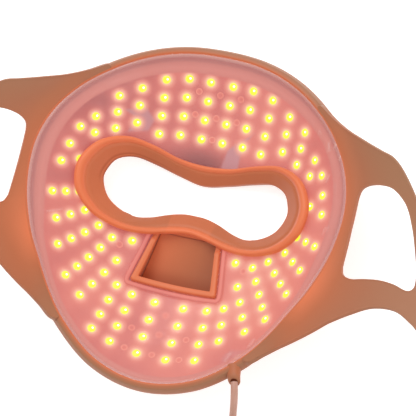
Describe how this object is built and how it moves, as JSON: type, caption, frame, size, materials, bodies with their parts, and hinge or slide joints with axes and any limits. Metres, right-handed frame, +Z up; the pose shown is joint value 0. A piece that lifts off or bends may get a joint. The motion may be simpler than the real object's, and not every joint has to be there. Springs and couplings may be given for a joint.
{
  "type": "led face mask",
  "caption": "Flexible silicone LED light therapy face mask with side wings, raised eye ring, nose pocket and coiled plug lead.",
  "frame": {"origin": "middle of the underside of the mask without its lead, on the surface it lies on", "axes": "+Z up towards the wearer's face, +Y from chin to forehead, +X to the right as the face side is seen"},
  "size_m": [0.3406, 0.3037, 0.0973],
  "materials": {
    "tan_silicone": "matte moulded",
    "clear_silicone": "translucent, satin",
    "white_film": "glossy",
    "circuit_film": "satin",
    "led_window": "glossy",
    "black_epoxy": "matte",
    "white_nylon": "matte",
    "wire_insulation": "satin",
    "lead_jacket": "satin",
    "hook_and_loop": "woven",
    "nickel_plate": "polished",
    "black_nylon": "matte"
  },
  "bodies": {
    "mask": {"outer_cover": "tan_silicone", "left_wing_root": "tan_silicone", "right_wing_root": "tan_silicone", "eye_ring": "tan_silicone", "nose_frame": "tan_silicone", "face_pad": "clear_silicone", "pad_pegs": "clear_silicone", "reflector_sheet": "white_film", "flex_circuit": "circuit_film", "forehead_leds": "led_window", "left_temple_leds": "led_window", "right_temple_leds": "led_window", "left_cheek_leds": "led_window", "right_cheek_leds": "led_window", "chin_leds": "led_window", "strip_resistors": "black_epoxy", "lead_terminal": "white_nylon", "wire_tails": "wire_insulation", "lead_boss": "tan_silicone", "lead": "lead_jacket", "lead_coil": "lead_jacket", "cord_tie": "hook_and_loop", "plug_housing": "lead_jacket", "plug_sleeve": "nickel_plate", "plug_contact": "black_nylon"},
    "left_wing": {"left_wing": "tan_silicone"},
    "right_wing": {"right_wing": "tan_silicone"},
    "nose_flap": {"nose_flap": "tan_silicone"}
  },
  "joints": [
    {"name": "left_wing_bend", "type": "hinge", "parent": "mask", "child": "left_wing", "pos_m": [-0.107, 0.01, 0.0592], "axis": [0, 0.9988, -0.048], "range_deg": [-15, 30], "stiffness_Nm_per_rad": 0.15},
    {"name": "right_wing_bend", "type": "hinge", "parent": "mask", "child": "right_wing", "pos_m": [0.107, 0.01, 0.0592], "axis": [0, -0.9988, 0.048], "range_deg": [-15, 30], "stiffness_Nm_per_rad": 0.15},
    {"name": "nose_flap_bend", "type": "hinge", "parent": "mask", "child": "nose_flap", "pos_m": [0, -0.0099, 0.0063], "axis": [1, 0, 0], "range_deg": [-6, 4], "stiffness_Nm_per_rad": 0.05}
  ]
}
